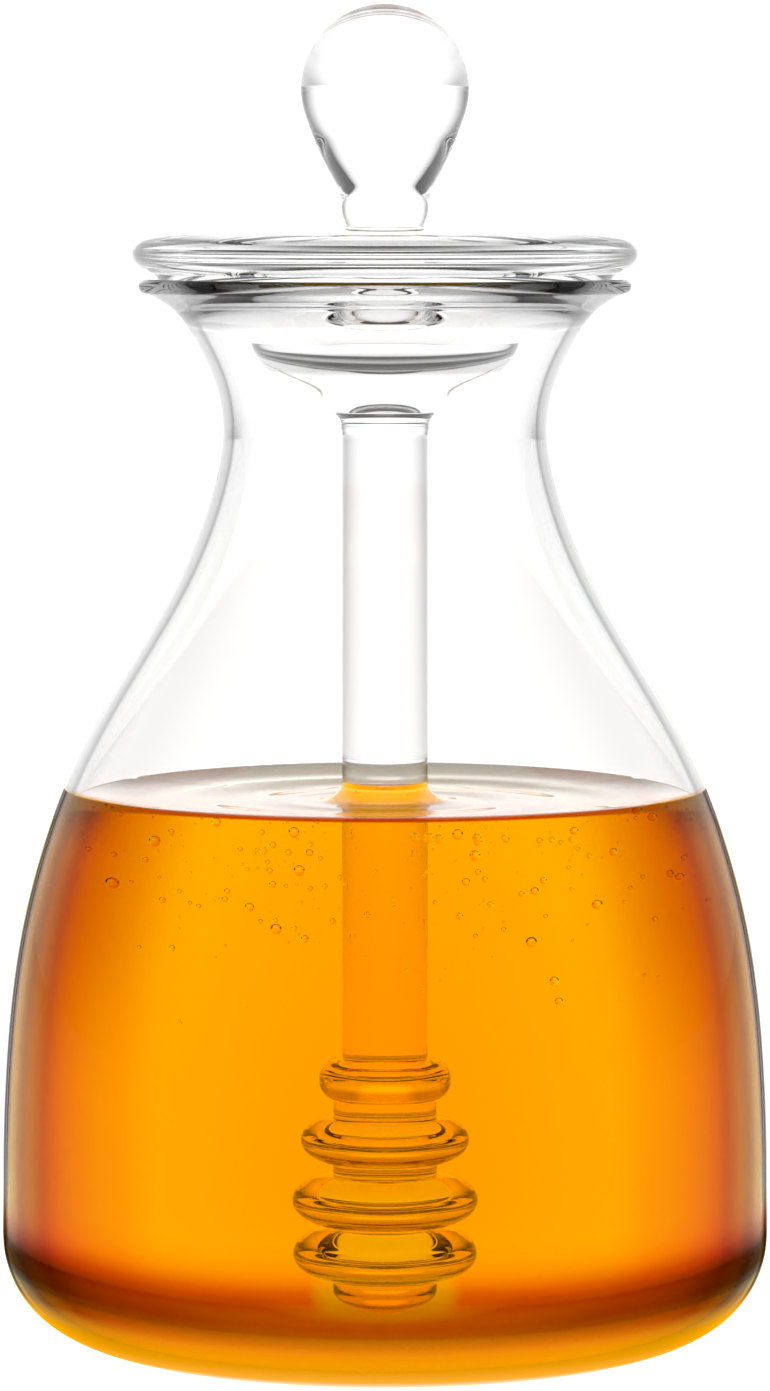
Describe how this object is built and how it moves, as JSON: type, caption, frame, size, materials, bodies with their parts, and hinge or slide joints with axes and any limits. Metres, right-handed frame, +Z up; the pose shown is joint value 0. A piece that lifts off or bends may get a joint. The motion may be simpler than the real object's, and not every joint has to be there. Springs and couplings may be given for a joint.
{
  "type": "glass honey pot",
  "caption": "Round flared glass jar of honey on a flat base, shut by a glass lid with a teardrop knob and a stopper whose rod ends in a ribbed dipper head.",
  "frame": {"origin": "centre of the jar's flat base, on the surface that the pot stands on", "axes": "+Z up along the axis that jar, lid, dipper and honey are all turned about; X and Y are free because the pot is round"},
  "size_m": [0.086, 0.086, 0.1497],
  "materials": {
    "jar_glass": "clear blown glass, polished by flame",
    "lid_glass": "clear lampworked glass, polished by flame",
    "honey": "clear amber liquid honey, wet and glossy"
  },
  "bodies": {
    "root": {"jar": "jar_glass", "lid_dipper": "lid_glass", "honey": "honey"}
  },
  "joints": []
}
